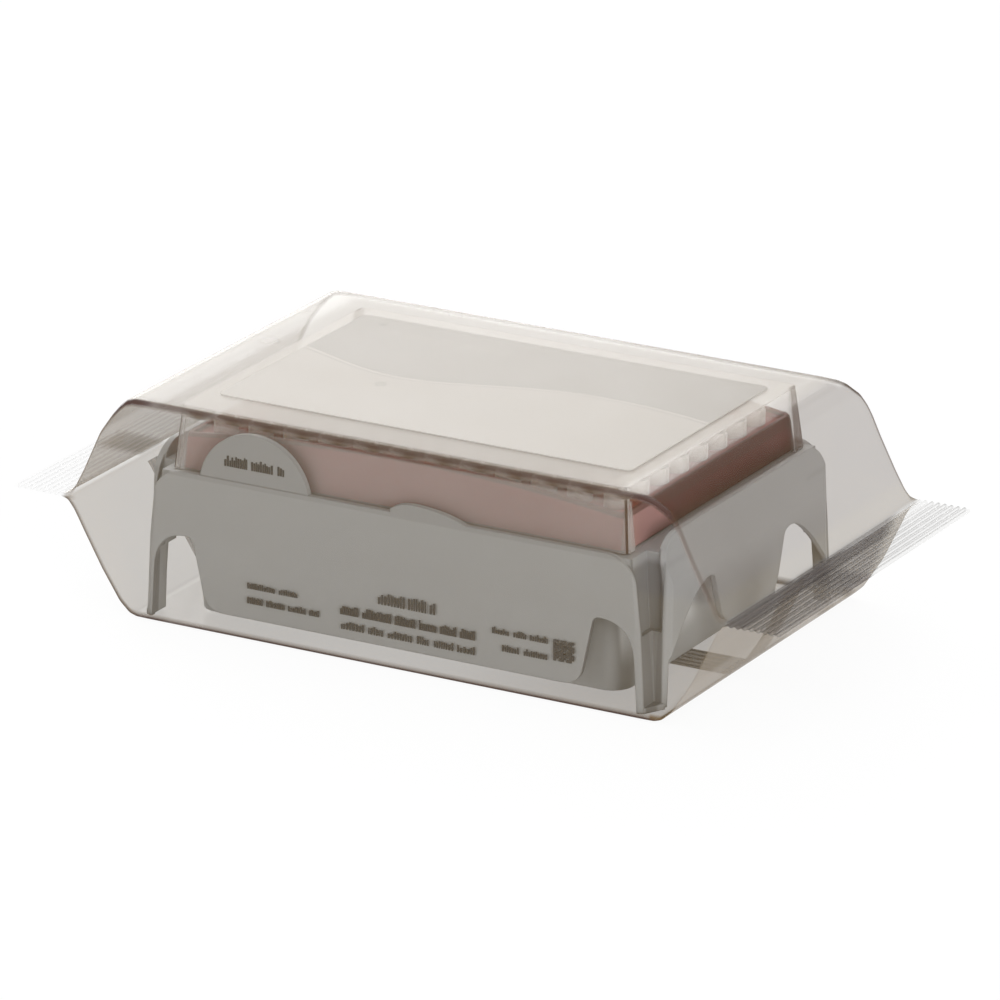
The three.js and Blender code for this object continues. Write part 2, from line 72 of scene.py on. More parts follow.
def length_setting(name, description, default, least=0.0):
    """A length that the panel can change, in metres."""
    return FloatProperty(
        name=name, description=description, unit="LENGTH", default=default, min=least,
    )


def colour_setting(name, description, default):
    """A colour that the panel can change, as linear red, green and blue."""
    return FloatVectorProperty(
        name=name, description=description, subtype="COLOR", default=default, min=0, max=1,
    )


class TipBoxSizes(PropertyGroup):
    """Sizes that a user of the box may want to change."""

    film_edge: length_setting(
        "Film edge radius", "Radius of the long folds of the wrap", 1.6 * MM, 0.5 * MM,
    )
    film_edge_low: length_setting(
        "Lower edge radius", "Radius of the long folds that lie on the table", 0.35 * MM, 0.2 * MM,
    )
    fin_ridge: length_setting(
        "Fin ridge height", "Height of the crimped ridges above the middle of a fin", 0.22 * MM,
    )
    fin_ridges: IntProperty(
        name="Fin ridges", description="Crimped ridges along each fin", default=8, min=1,
    )
    pitch: length_setting("Tip pitch", "Distance from tip to tip", 9 * MM, 1 * MM)
    rim_bow: length_setting(
        "Rim bow", "How far the rack's long edges rise at the middle", 3.0 * MM,
    )
    edge_softness: length_setting(
        "Edge softness", "Radius by which moulded edges look rounded", 0.45 * MM,
    )


class TipBoxColours(PropertyGroup):
    """Colours of the box and its wrap, as linear values."""

    base: colour_setting("Base", "Moulded grey of the base", (0.343, 0.35, 0.348))
    rack: colour_setting("Rack", "Red-brown of the tip rack", (0.34, 0.032, 0.03))
    tips: colour_setting("Tips", "Natural plastic of the tips", (0.74, 0.71, 0.66))
    lid: colour_setting("Lid", "Milky tint of the clear lid", (0.6, 0.585, 0.57))
    card: colour_setting("Label", "Pale field of the lid label", (0.64, 0.63, 0.61))
    card_field: colour_setting("Label field", "Grey field of the lid label", (0.47, 0.47, 0.465))
    ink: colour_setting("Ink", "Dark ink of the printed bars", (0.03, 0.03, 0.03))
    film: colour_setting("Film", "Smoky tint of the wrap", (0.15, 0.095, 0.03))
    # Painted shade along the wrap's sharp folds, also the colour of the lid's painted dark glints.
    fold: colour_setting("Fold", "Tint of the wrap along its sharp folds", (0.055, 0.025, 0.018))
    fin: colour_setting("Fin", "Tint of the sealed fins", (0.25, 0.24, 0.21))


def sizes():
    """The sizes set in the panel."""
    return bpy.context.scene.tip_box_sizes


def colours():
    """The colours set in the panel."""
    return bpy.context.scene.tip_box_colours


# ------------ surfaces


def ring(half_x, half_y, radius, steps=8, along_x=1, along_y=1):
    """A rectangle with round corners in X and Y, anticlockwise, as an (n, 2) array.

    Each corner is a quarter circle about the point a radius inside it, and each
    straight side is cut evenly into along_x or along_y parts.
    """
    turn = np.linspace(0.0, np.pi / 2, steps + 1)
    corners = []
    for quarter, (sign_x, sign_y) in enumerate([(1, -1), (1, 1), (-1, 1), (-1, -1)]):
        angle = turn - np.pi / 2 + quarter * np.pi / 2
        corners.append(np.stack([
            sign_x * (half_x - radius) + radius * np.cos(angle),
            sign_y * (half_y - radius) + radius * np.sin(angle),
        ], axis=1))
    parts = []
    for quarter, corner in enumerate(corners):
        following = corners[(quarter + 1) % 4][0]
        count = along_y if quarter % 2 == 0 else along_x
        share = np.arange(1, count)[:, None] / count
        parts.append(corner)
        parts.append(corner[-1] + share * (following - corner[-1]))
    return np.concatenate(parts)


def grid_faces(rows, columns):
    """Four-sided faces of a rows by columns grid of points, closed round its columns."""
    row, column = np.meshgrid(np.arange(rows - 1), np.arange(columns), indexing="ij")
    after = (column + 1) % columns
    return np.stack([
        row * columns + column, row * columns + after,
        (row + 1) * columns + after, (row + 1) * columns + column,
    ], axis=-1).reshape(-1, 4)


def turned(profile, sides):
    """A body of revolution: each (radius, height) pair of the profile is swept round Z."""
    radius, height = np.asarray(profile, float).T
    angle = np.linspace(0.0, 2 * np.pi, sides, endpoint=False)
    return np.stack([
        radius[:, None] * np.cos(angle), radius[:, None] * np.sin(angle),
        np.repeat(height[:, None], sides, axis=1),
    ], axis=-1)


def smooth_object(name, mesh, angle):
    """An object of a mesh, shaded smooth up to an angle between faces, linked to the scene."""
    mesh.shade_smooth()
    mesh.set_sharp_from_angle(angle=math.radians(angle))
    made = bpy.data.objects.new(name, mesh)
    bpy.context.scene.collection.objects.link(made)
    return made


def shell_object(name, shells, angle=35.0):
    """One object from closed shells, each a rows by columns grid of rings with flat ends."""
    points, faces, start = [], [], 0
    for shell in shells:
        rows, columns = shell.shape[:2]
        points.append(shell.reshape(-1, 3))
        faces += (grid_faces(rows, columns) + start).tolist()
        faces.append((np.arange(columns)[::-1] + start).tolist())
        faces.append((np.arange(columns) + (rows - 1) * columns + start).tolist())
        start += rows * columns
    mesh = bpy.data.meshes.new(name)
    mesh.from_pydata(np.concatenate(points).tolist(), [], faces)
    mesh.update()
    return smooth_object(name, mesh, angle)


def merged_copy(node, name, angle, round_edge):
    """A copy of a CAD node with its loose triangles merged and its hard edges rounded."""
    work = bmesh.new()
    work.from_mesh(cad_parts[node].data)
    bmesh.ops.remove_doubles(work, verts=work.verts, dist=0.002 * MM)
    bmesh.ops.dissolve_limit(
        work, angle_limit=math.radians(1.0), verts=work.verts, edges=work.edges,
    )
    mesh = bpy.data.meshes.new(name)
    work.to_mesh(mesh)
    work.free()
    made = smooth_object(name, mesh, angle)
    bevel = made.modifiers.new("rounded edges", "BEVEL")
    bevel.width = round_edge
    bevel.segments = 2
    bevel.limit_method = "ANGLE"
    bevel.angle_limit = math.radians(angle)
    bevel.harden_normals = True
    return made


def dress(piece, material, slot, *nodes):
    """Gives a new piece its material and body and hides the nodes that it stands for. The slot is not
    used.
    """
    piece.data.materials.clear()
    piece.data.materials.append(material)
    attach(piece, "root")
    if nodes:
        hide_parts(*nodes)


def refinish(node, material):
    """Gives a CAD node that is shown as it is a new material."""
    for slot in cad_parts[node].material_slots:
        slot.material = material


# ------------ shader tools


def feed(tree, socket, value):
    """Links an output to a socket, or gives the socket a plain value."""
    if isinstance(value, bpy.types.NodeSocket):
        tree.links.new(value, socket)
    else:
        socket.default_value = value


def add(tree, kind, **inputs):
    """A node of a kind in a tree, with its named inputs fed."""
    node = tree.nodes.new(kind)
    for name, value in inputs.items():
        feed(tree, node.inputs[name], value)
    return node


def maths(tree, operation, *values):
    """A maths node on one to three values or sockets. Returns its output."""
    node = tree.nodes.new("ShaderNodeMath")
    node.operation = operation
    for socket, value in zip(node.inputs, values):
        feed(tree, socket, value)
    return node.outputs[0]


def mixed(tree, share, first, second):
    """A colour between two colours or sockets."""
    node = tree.nodes.new("ShaderNodeMix")
    node.data_type = "RGBA"
    feed(tree, node.inputs[0], share)
    for socket, colour in ((node.inputs[6], first), (node.inputs[7], second)):
        linked = isinstance(colour, bpy.types.NodeSocket)
        feed(tree, socket, colour if linked else (*colour, 1.0))
    return node.outputs[2]


def lightened(colour, gain):
    """A colour made lighter or darker by a gain, at most white."""
    return tuple(min(part * gain, 1.0) for part in colour)


def rising(tree, value, start, end):
    """0 up to the start, 1 from the end on, and a smooth step between them."""
    node = add(tree, "ShaderNodeMapRange")
    node.interpolation_type = "SMOOTHSTEP"
    feed(tree, node.inputs["From Min"], start)
    feed(tree, node.inputs["From Max"], end)
    feed(tree, node.inputs["Value"], value)
    return node.outputs[0]


def falling(tree, value, start, end):
    """1 up to the start, 0 from the end on, and a smooth step between them."""
    return maths(tree, "SUBTRACT", 1.0, rising(tree, value, start, end))


def band(tree, value, middle, half):
    """1 within half a width of the middle, with soft edges."""
    off = maths(tree, "ABSOLUTE", maths(tree, "SUBTRACT", value, middle))
    return falling(tree, off, half * 0.7, half * 1.3)


def negative(tree, value):
    """The value with its sign turned."""
    return maths(tree, "MULTIPLY", value, -1.0)


def product(tree, *masks):
    """All masks multiplied together."""
    result = masks[0]
    for mask in masks[1:]:
        result = maths(tree, "MULTIPLY", result, mask)
    return result


def strongest(tree, *masks):
    """The highest of all masks."""
    result = masks[0]
    for mask in masks[1:]:
        result = maths(tree, "MAXIMUM", result, mask)
    return result


def summed(tree, start, *layers):
    """The start, plus each layer's mask times its amount."""
    total = start
    for mask, amount in layers:
        total = maths(tree, "MULTIPLY_ADD", mask, amount, total)
    return total


def ridge_lines(tree, across, first, pitch):
    """1 on thin lines at an even pitch, 0 between them: the tops of a cosine wave."""
    turns = maths(tree, "MULTIPLY", maths(tree, "SUBTRACT", across, first), 2 * math.pi / pitch)
    return rising(tree, maths(tree, "COSINE", turns), 0.2, 0.95)


def attribute(tree, name):
    """A value that the mesh carries at its points."""
    node = add(tree, "ShaderNodeAttribute")
    node.attribute_name = name
    return node.outputs["Fac"]


def place(tree):
    """Object position of the surface, and its X, Y and Z."""
    where = add(tree, "ShaderNodeTexCoord").outputs["Object"]
    parts = add(tree, "ShaderNodeSeparateXYZ", Vector=where)
    return where, parts.outputs["X"], parts.outputs["Y"], parts.outputs["Z"]


def noise(tree, where, scale, detail=2.0):
    """Soft noise on a position, between 0 and 1."""
    node = add(tree, "ShaderNodeTexNoise", Vector=where, Scale=scale, Detail=detail)
    return node.outputs[0]


def stretched(tree, where, scale, turn=(0.0, 0.0, 0.0)):
    """A position with its axes scaled and turned."""
    node = add(tree, "ShaderNodeMapping", Vector=where, Scale=scale, Rotation=turn)
    return node.outputs[0]


def group(name, inputs, outputs):
    """A new shader group with named sockets. Returns it and its input and output nodes."""
    tree = bpy.data.node_groups.new(name, "ShaderNodeTree")
    for label, kind, default in inputs:
        socket = tree.interface.new_socket(label, in_out="INPUT", socket_type=kind)
        socket.default_value = default
    for label, kind in outputs:
        tree.interface.new_socket(label, in_out="OUTPUT", socket_type=kind)
    return tree, tree.nodes.new("NodeGroupInput"), tree.nodes.new("NodeGroupOutput")


def moulded_group():
    """Moulded plastic: cloudy colour, uneven gloss and a fine grain."""
    tree, given, out = group(
        "Moulded plastic",
        [("Vector", "NodeSocketVector", (0, 0, 0)), ("Color", "NodeSocketColor", (0.5, 0.5, 0.5, 1)),
         ("Cloudiness", "NodeSocketFloat", 0.06), ("Roughness", "NodeSocketFloat", 0.45),
         ("Grain size", "NodeSocketFloat", 2200.0)],
        [("Color", "NodeSocketColor"), ("Roughness", "NodeSocketFloat"), ("Height", "NodeSocketFloat")],
    )
    where = given.outputs["Vector"]
    cloud = noise(tree, where, 38.0, 3.0)
    fine = noise(tree, where, 420.0, 2.0)
    grain = noise(tree, where, given.outputs["Grain size"], 1.0)
    swing = maths(tree, "MULTIPLY", maths(tree, "SUBTRACT", cloud, 0.5), given.outputs["Cloudiness"])
    gain = maths(tree, "ADD", 1.0, maths(tree, "MULTIPLY", swing, 2.0))
    scaled = tree.nodes.new("ShaderNodeVectorMath")
    scaled.operation = "SCALE"
    tree.links.new(given.outputs["Color"], scaled.inputs[0])
    tree.links.new(gain, scaled.inputs["Scale"])
    tree.links.new(scaled.outputs[0], out.inputs["Color"])
    rough = maths(tree, "MULTIPLY_ADD", maths(tree, "SUBTRACT", fine, 0.5), 0.16,
                  given.outputs["Roughness"])
    tree.links.new(rough, out.inputs["Roughness"])
    tree.links.new(grain, out.inputs["Height"])
    return tree


def film_group():
    """Stretched film: long soft wrinkles, slanted ripples, cloudy haze and uneven gloss."""
    tree, given, out = group(
        "Stretched film",
        [("Vector", "NodeSocketVector", (0, 0, 0))],
        [("Haze", "NodeSocketFloat"), ("Height", "NodeSocketFloat"), ("Roughness", "NodeSocketFloat")],
    )
    where = given.outputs["Vector"]
    long_waves = noise(tree, stretched(tree, where, (5.0, 26.0, 26.0), (0.0, 0.12, 0.0)), 1.0, 2.0)
    drawn = noise(tree, stretched(tree, where, (20.0, 8.0, 60.0), (0.0, 0.5, 0.3)), 1.0, 1.0)
    height = maths(tree, "MULTIPLY_ADD", long_waves, 0.7, maths(tree, "MULTIPLY", drawn, 0.3))
    tree.links.new(height, out.inputs["Height"])
    tree.links.new(noise(tree, where, 22.0, 3.0), out.inputs["Haze"])
    tree.links.new(maths(tree, "MULTIPLY_ADD", noise(tree, where, 60.0), 0.1, 0.2),
                   out.inputs["Roughness"])
    return tree


def finish_group(tree, name, build, where):
    """A shader group placed in a material and fed with the object position."""
    finish = add(tree, "ShaderNodeGroup")
    finish.node_tree = bpy.data.node_groups.get(name) or build()
    tree.links.new(where, finish.inputs["Vector"])
    return finish


def blank_material(name):
    """A material with a Principled shader. Returns the material, its tree and the shader."""
    material = bpy.data.materials.new(name)
    material.use_nodes = True
    tree = material.node_tree
    shader = tree.nodes["Principled BSDF"]
    return material, tree, shader


def moulded_material(name, colour, roughness, cloudiness, grain_size, grain_depth, softness):
    """Moulded plastic with rounded-looking edges.

    Returns the material, its tree, its shader and the socket with the plastic's own colour.
    """
    material, tree, shader = blank_material(name)
    where = add(tree, "ShaderNodeTexCoord").outputs["Object"]
    finish = finish_group(tree, "Moulded plastic", moulded_group, where)
    finish.inputs["Color"].default_value = (*colour, 1.0)
    finish.inputs["Cloudiness"].default_value = cloudiness
    finish.inputs["Roughness"].default_value = roughness
    finish.inputs["Grain size"].default_value = grain_size
    tree.links.new(finish.outputs["Color"], shader.inputs["Base Color"])
    tree.links.new(finish.outputs["Roughness"], shader.inputs["Roughness"])
    edge = add(tree, "ShaderNodeBevel", Radius=softness)
    edge.samples = 6
    bump = add(tree, "ShaderNodeBump", Strength=1.0, Distance=grain_depth,
               Height=finish.outputs["Height"], Normal=edge.outputs[0])
    tree.links.new(bump.outputs[0], shader.inputs["Normal"])
    return material, tree, shader, finish.outputs["Color"]


def clearness(tree, clear):
    """Share hidden by a clear layer seen at a slant: one less clear to the power 1 over cosine."""
    least_cosine = 0.12
    facing = add(tree, "ShaderNodeLayerWeight", Blend=0.5).outputs["Facing"]
    cosine = maths(tree, "MAXIMUM", maths(tree, "SUBTRACT", 1.0, facing), least_cosine)
    path = maths(tree, "DIVIDE", 1.0, cosine)
    return maths(tree, "SUBTRACT", 1.0, maths(tree, "POWER", clear, path))


# ------------ base


UNLIT_GREY = (0.05, 0.05, 0.05)                      # what the corners of the base fade to
SKIRT_BACK_X, SKIRT_BACK_Y = 64.6 * MM, 43.2 * MM    # where the skirts' outer faces begin
TUB_END = 56 * MM                                    # where the tub's end walls stand


def behind_skirts(tree, away_x, away_y):
    """1 behind the outer faces of the skirts."""
    soft = 0.6 * MM
    return product(tree, falling(tree, away_x, SKIRT_BACK_X, SKIRT_BACK_X + soft),
                   falling(tree, away_y, SKIRT_BACK_Y, SKIRT_BACK_Y + soft))


def with_painted_corner_shade(tree, colour, x, away_x, away_y, z):
    """The colour with painted shade in the recesses and hollows of the right-hand legs."""
    to_corner = maths(tree, "ADD", away_x, away_y)
    inside = behind_skirts(tree, away_x, away_y)
    recess = product(tree, rising(tree, to_corner, 101.6 * MM, 102.4 * MM), inside)
    hollow = product(tree, rising(tree, to_corner, 92 * MM, 94 * MM), inside,
                     falling(tree, z, 32 * MM, 34 * MM))
    corner_shade = strongest(tree, product(tree, recess, 0.58), product(tree, hollow, 0.44))
    right = rising(tree, x, -1 * MM, 1 * MM)
    return mixed(tree, product(tree, corner_shade, right), colour, UNLIT_GREY)


def with_painted_tub_light(tree, colour, away_x, away_y, z):
    """The colour with painted light that makes the tub lighter, and makes its end walls glow above its
    floor.
    """
    tub = product(tree, falling(tree, away_x, TUB_END + 1.6 * MM, TUB_END + 2.2 * MM),
                  falling(tree, away_y, 40.0 * MM, 40.6 * MM),
                  falling(tree, z, 33.0 * MM, 34.0 * MM))
    end_wall = product(tree, rising(tree, away_x, TUB_END - 3 * MM, TUB_END - 2 * MM),
                       rising(tree, z, 6 * MM, 15 * MM))
    grey = colours().base
    return mixed(tree, tub, colour, mixed(tree, end_wall, lightened(grey, 1.2), lightened(grey, 2.8)))


def with_painted_face_shade(tree, colour, x, y, z):
    """The colour with painted shade on the arches' cut faces and, a little, on the thumb tab."""
    facing = add(tree, "ShaderNodeTexCoord").outputs["Normal"]
    to_right = add(tree, "ShaderNodeSeparateXYZ", Vector=facing).outputs["X"]
    front = negative(tree, y)
    arch = product(tree, rising(tree, to_right, 0.3, 0.5),
                   rising(tree, front, 40.9 * MM, 41.2 * MM),
                   falling(tree, x, 58.5 * MM, 59.5 * MM), falling(tree, z, 24 * MM, 25 * MM))
    tab = product(tree, rising(tree, front, 43.4 * MM, 43.6 * MM),
                  rising(tree, z, 34.6 * MM, 35.2 * MM))
    face_shade = strongest(tree, product(tree, arch, 0.55), product(tree, tab, 0.15))
    return mixed(tree, face_shade, colour, UNLIT_GREY)


def make_base():
    """Grey base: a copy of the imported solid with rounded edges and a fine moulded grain."""
    base = merged_copy("base", "base_shell", angle=32.0, round_edge=0.3 * MM)
    material, tree, shader, colour = moulded_material(
        "grey_base_plastic", colours().base, roughness=0.42, cloudiness=0.04,
        grain_size=2600.0, grain_depth=0.004 * MM, softness=sizes().edge_softness,
    )
    _, x, y, z = place(tree)
    away_x, away_y = maths(tree, "ABSOLUTE", x), maths(tree, "ABSOLUTE", y)
    # Painted shade in the recesses and hollows of the right-hand legs.
    colour = with_painted_corner_shade(tree, colour, x, away_x, away_y, z)
    # Painted light on the tub, which lies in shade behind the skirts.
    colour = with_painted_tub_light(tree, colour, away_x, away_y, z)
    # Painted shade on the arches' cut faces and the thumb tab.
    colour = with_painted_face_shade(tree, colour, x, y, z)
    tree.links.new(colour, shader.inputs["Base Color"])
    dress(base, material, "grey_plastic", "base")


# ------------ rack and tips


RACK_RINGS = [  # half sizes in X and Y, corner radius and height in mm, and share of the bow
    (53.5, 35.7, 3.0, 30.0, 0), (54.8, 37.0, 4.2, 30.0, 0), (55.2, 37.4, 4.5, 35.4, 0),
    (56.5, 40.1, 2.4, 35.5, 0), (56.45, 40.0, 2.4, 36.2, 0), (55.9, 39.3, 2.2, 42.2, 0.35),
    (55.75, 39.15, 2.1, 43.1, 0.9), (55.65, 39.0, 2.0, 43.7, 1), (55.4, 38.75, 1.8, 44.0, 1),
    (54.6, 37.95, 1.0, 44.0, 1), (54.4, 37.75, 0.9, 43.7, 1), (54.5, 37.85, 0.9, 42.2, 0),
]
RACK_FOOT = 35.5 * MM     # where the rack's visible sides start
BOW_REACH = 50 * MM       # half the length over which the rim stands above its corners


def rim_rise(x):
    """Height of the bow above the rack's corners: a parabola over the length."""
    return sizes().rim_bow * np.clip(1.0 - (x / BOW_REACH) ** 2, -0.2, 1.0)


def rack_material():
    """Red-brown plastic with painted shade and painted reflection streaks on its short sides, a pale
    haze of the lid's frost painted on one corner, and painted shade along the rim.
    """
    material, tree, shader, colour = moulded_material(
        "red_rack_plastic", colours().rack, roughness=0.35, cloudiness=0.08,
        grain_size=2600.0, grain_depth=0.004 * MM, softness=0.3 * MM,
    )
    where, x, y, z = place(tree)
    side = rising(tree, maths(tree, "ABSOLUTE", x), 55.0 * MM, 55.4 * MM)
    # Painted shade: the short sides darkened towards a deep red, as shade falls on them under the lid's
    # walls.
    colour = mixed(tree, product(tree, side, 0.92), colour, (0.045, 0.0, 0.005))
    # Painted reflection: lighter streaks on the short sides, where the lid's walls mirror light.
    reflection_streak = noise(tree, stretched(tree, where, (20.0, 60.0, 160.0)), 1.0)
    painted_reflection = product(tree, side, rising(tree, reflection_streak, 0.5, 0.62))
    colour = mixed(tree, product(tree, painted_reflection, 0.25), colour, (0.12, 0.02, 0.02))

    # Painted haze: light scattered by the lid's frost over the rack's front corner, painted here as a
    # pale pink.
    slanted = maths(tree, "MULTIPLY_ADD", maths(tree, "SUBTRACT", z, RACK_FOOT), 0.9, y)
    painted_lid_haze = product(tree, side, falling(tree, slanted, -19.5 * MM, -18 * MM))
    colour = mixed(tree, painted_lid_haze, colour, (0.37, 0.2, 0.19))

    # Painted shade: the rim's top, shaded by the label above, and an upper band of the short sides are
    # darkened.
    bow = sizes().rim_bow / BOW_REACH ** 2
    unbowed = maths(tree, "MULTIPLY_ADD", product(tree, x, x), bow, z)
    rim_top_shade = product(tree, rising(tree, unbowed, 45.9 * MM, 46.3 * MM), 0.7)
    rim_band_shade = product(tree, side, rising(tree, z, 40.6 * MM, 41.2 * MM),
                       rising(tree, y, -24 * MM, -22 * MM), 0.75)
    colour = mixed(tree, strongest(tree, rim_band_shade, rim_top_shade), colour, (0.05, 0.008, 0.008))
    tree.links.new(colour, shader.inputs["Base Color"])
    shader.inputs["Specular IOR Level"].default_value = 0.08
    return material


def make_rack():
    """Red-brown rack: rings of a round-cornered box from its skirt up over the rim to the deck."""
    rings = []
    for half_x, half_y, radius, height, bow in RACK_RINGS:
        outline = ring(half_x * MM, half_y * MM, radius * MM, steps=6, along_x=48, along_y=20)
        rise = bow * rim_rise(outline[:, 0])
        rings.append(np.column_stack([outline, height * MM + rise]))
    rack = shell_object("rack_shell", [np.array(rings)])
    dress(rack, rack_material(), "rack_plastic", "tip_rack")


ROWS, COLUMNS = 8, 12
TIP_TOP = 45.9            # height of the tips' heads, in mm
TIP_PROFILE = [  # radius and distance below the head, in mm
    (0.3, 31.0), (0.5, 31.0), (1.7, 6.9), (2.2, 3.8), (2.8, 3.6), (2.85, 0.4), (2.7, 0.0),
    (2.1, 0.0), (1.9, 3.0), (0.5, 9.0),
]


def make_tips():
    """Tips: one turned profile with a rimmed head and an open socket, set out on a grid."""
    profile = np.array([(radius, TIP_TOP - down) for radius, down in TIP_PROFILE])
    tip = turned(profile * MM, 16)
    pitch = sizes().pitch
    first_x, first_y = (COLUMNS - 1) / 2, (ROWS - 1) / 2
    shells = [
        tip + np.array([(column - first_x) * pitch, (row - first_y) * pitch, 0.0])
        for row in range(ROWS) for column in range(COLUMNS)
    ]
    tips = shell_object("tips_fine", shells)
    material, tree, shader, _ = moulded_material(
        "natural_tip_plastic", colours().tips, roughness=0.3, cloudiness=0.04,
        grain_size=3000.0, grain_depth=0.002 * MM, softness=0.1 * MM,
    )
    tree.links.new(clearness(tree, 0.68), shader.inputs["Alpha"])
    names = [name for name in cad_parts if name.startswith("tip_") and name != "tip_rack"]
    dress(tips, material, "tip_plastic", *names)


# ------------ lid


LID_LEAN_X, LID_LEAN_Y = 0.0966, 0.117     # how far the walls lean in for their height


def painted_lid_glints_and_shade(tree, x, y, z, front):
    """Painted dark marks: dark glints on the upright corners, and a dashed line of painted shade along
    the front under the top, where the shaded gaps between the tips show.
    """
    risen = maths(tree, "SUBTRACT", z, LID_LOW.z)
    reach_x = maths(tree, "MULTIPLY_ADD", risen, LID_LEAN_X, maths(tree, "ABSOLUTE", x))
    reach_y = maths(tree, "MULTIPLY_ADD", risen, LID_LEAN_Y, maths(tree, "ABSOLUTE", y))
    end = rising(tree, reach_x, LID_HIGH.x - 0.85 * MM, LID_HIGH.x - 0.65 * MM)
    corner = product(tree, end, rising(tree, reach_y, 40.55 * MM, 40.75 * MM))
    back_corner = product(tree, end, band(tree, y, 38.2 * MM, 2.2 * MM), 0.9)
    turns = maths(tree, "MULTIPLY", x, 2 * math.pi / sizes().pitch)
    dashes = maths(tree, "MULTIPLY_ADD", maths(tree, "SINE", turns), 0.4, 0.6)
    top_line = product(tree, front, band(tree, z, 48.1 * MM, 0.8 * MM), dashes)
    return strongest(tree, corner, back_corner, top_line)


def make_lid():
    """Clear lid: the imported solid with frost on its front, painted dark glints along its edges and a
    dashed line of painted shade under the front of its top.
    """
    material, tree, shader = blank_material("clear_lid_plastic")
    where, x, y, z = place(tree)
    front = rising(tree, negative(tree, y), 37.5 * MM, 38.5 * MM)
    low_front = product(tree, front, falling(tree, z, 46.2 * MM, 47.2 * MM))
    rim_line = rising(tree, z, 49.4 * MM, 49.8 * MM)
    top = rising(tree, z, 49.7 * MM, 49.9 * MM)
    right = rising(tree, x, 50 * MM, 54 * MM)
    # Painted dark glints and painted shade, drawn in the fold colour and made more opaque.
    dark = painted_lid_glints_and_shade(tree, x, y, z, front)

    finish = finish_group(tree, "Moulded plastic", moulded_group, where)
    finish.inputs["Color"].default_value = (*colours().lid, 1.0)
    finish.inputs["Roughness"].default_value = 0.16
    milky = mixed(tree, rim_line, finish.outputs["Color"], (0.84, 0.81, 0.77))
    tree.links.new(mixed(tree, dark, milky, colours().fold), shader.inputs["Base Color"])
    tree.links.new(finish.outputs["Roughness"], shader.inputs["Roughness"])

    frost = maths(tree, "MULTIPLY_ADD", noise(tree, where, 30.0), 0.03, 0.24)
    on_top = maths(tree, "MULTIPLY_ADD", right, 0.09, 0.13)
    hidden = summed(
        tree, 0.008, (low_front, frost), (rim_line, 0.04), (top, on_top), (dark, 0.6),
    )
    clear = maths(tree, "MAXIMUM", maths(tree, "SUBTRACT", 1.0, hidden), 0.05)
    tree.links.new(clearness(tree, clear), shader.inputs["Alpha"])
    shader.inputs["Specular IOR Level"].default_value = 0.15
    edge = add(tree, "ShaderNodeBevel", Radius=0.4 * MM)
    tree.links.new(edge.outputs[0], shader.inputs["Normal"])
    refinish("lid", material)


# ------------ labels


def fibrous(tree, fibre, colour, least):
    """A card colour that falls to its least share where the fibres lie low."""
    return mixed(tree, fibre, lightened(colour, least), colour)


def card_material():
    """Printed card: a pale field, a bowed border line, and a grey field with a line of print."""
    material, tree, shader = blank_material("printed_lid_card")
    where, x, y, _ = place(tree)
    fibre = noise(tree, where, 900.0)
    pale = fibrous(tree, fibre, colours().card, 0.97)
    grey = fibrous(tree, fibre, colours().card_field, 0.96)

    slow = maths(tree, "SINE", maths(tree, "MULTIPLY_ADD", x, 64.0, -0.2))
    quick = maths(tree, "SINE", maths(tree, "MULTIPLY_ADD", x, 110.0, 1.3))
    border = summed(tree, 5.2 * MM, (quick, 0.8 * MM), (slow, 5.0 * MM))
    above = maths(tree, "SUBTRACT", y, border)
    field = rising(tree, above, 0.0, 0.15 * MM)
    line = band(tree, above, -1.3 * MM, 0.25 * MM)

    wobble = product(tree, maths(tree, "SINE", maths(tree, "MULTIPLY", x, 2100.0)), 1.3)
    strokes = maths(tree, "SINE", maths(tree, "MULTIPLY_ADD", x, 3400.0, wobble))
    print_line = product(tree, rising(tree, strokes, -0.2, 0.4), band(tree, y, 25.7 * MM, 1.9 * MM),
                         band(tree, x, -23.2 * MM, 20.6 * MM), 0.45)
    colour = mixed(tree, print_line, mixed(tree, field, pale, grey), colours().card)
    tree.links.new(mixed(tree, line, colour, grey), shader.inputs["Base Color"])
    shader.inputs["Roughness"].default_value = 0.5
    return material


def ink_material():
    """Dark ink, worn a little lighter in spots."""
    material, tree, shader = blank_material("dark_print_ink")
    where = add(tree, "ShaderNodeTexCoord").outputs["Object"]
    ink = colours().ink
    worn = mixed(tree, noise(tree, where, 1500.0), ink, lightened(ink, 2.2))
    tree.links.new(worn, shader.inputs["Base Color"])
    shader.inputs["Roughness"].default_value = 0.5
    return material


def bar_shell(left, right, low, high, face, thick):
    """A thin printed bar: a rectangle with round corners in X and Z, given a thickness in Y.

    The four sides are in millimetres, the face and the thickness in metres.
    """
    half_x, half_z = (right - left) * MM / 2, (high - low) * MM / 2
    outline = ring(half_x, half_z, 0.3 * min(half_x, half_z), steps=2)
    x = outline[:, 0] + (left + right) * MM / 2
    z = outline[:, 1] + (low + high) * MM / 2
    near = np.column_stack([x, np.full(len(x), face), z])
    far = near + np.array([0.0, thick, 0.0])
    return np.array([far, near])


def stroke_bars(random, left, right, middle, height, density):
    """A line of print without letters: upright strokes and gaps of uneven width, in words."""
    shortest_word, longest_word, word_gap = 3.0, 7.5, 0.9
    thinnest, thickest = 0.28, 0.5
    bars, at = [], left
    while at < right - 0.3:
        end = min(at + random.uniform(shortest_word, longest_word), right)
        while at < end - 0.25:
            width = random.uniform(thinnest, thickest)
            tall = height * random.uniform(0.55, 1.0)
            foot = middle - height / 2
            bars.append((at, min(at + width, end), foot, foot + tall))
            at += width / density
        at = end + word_gap
    return bars


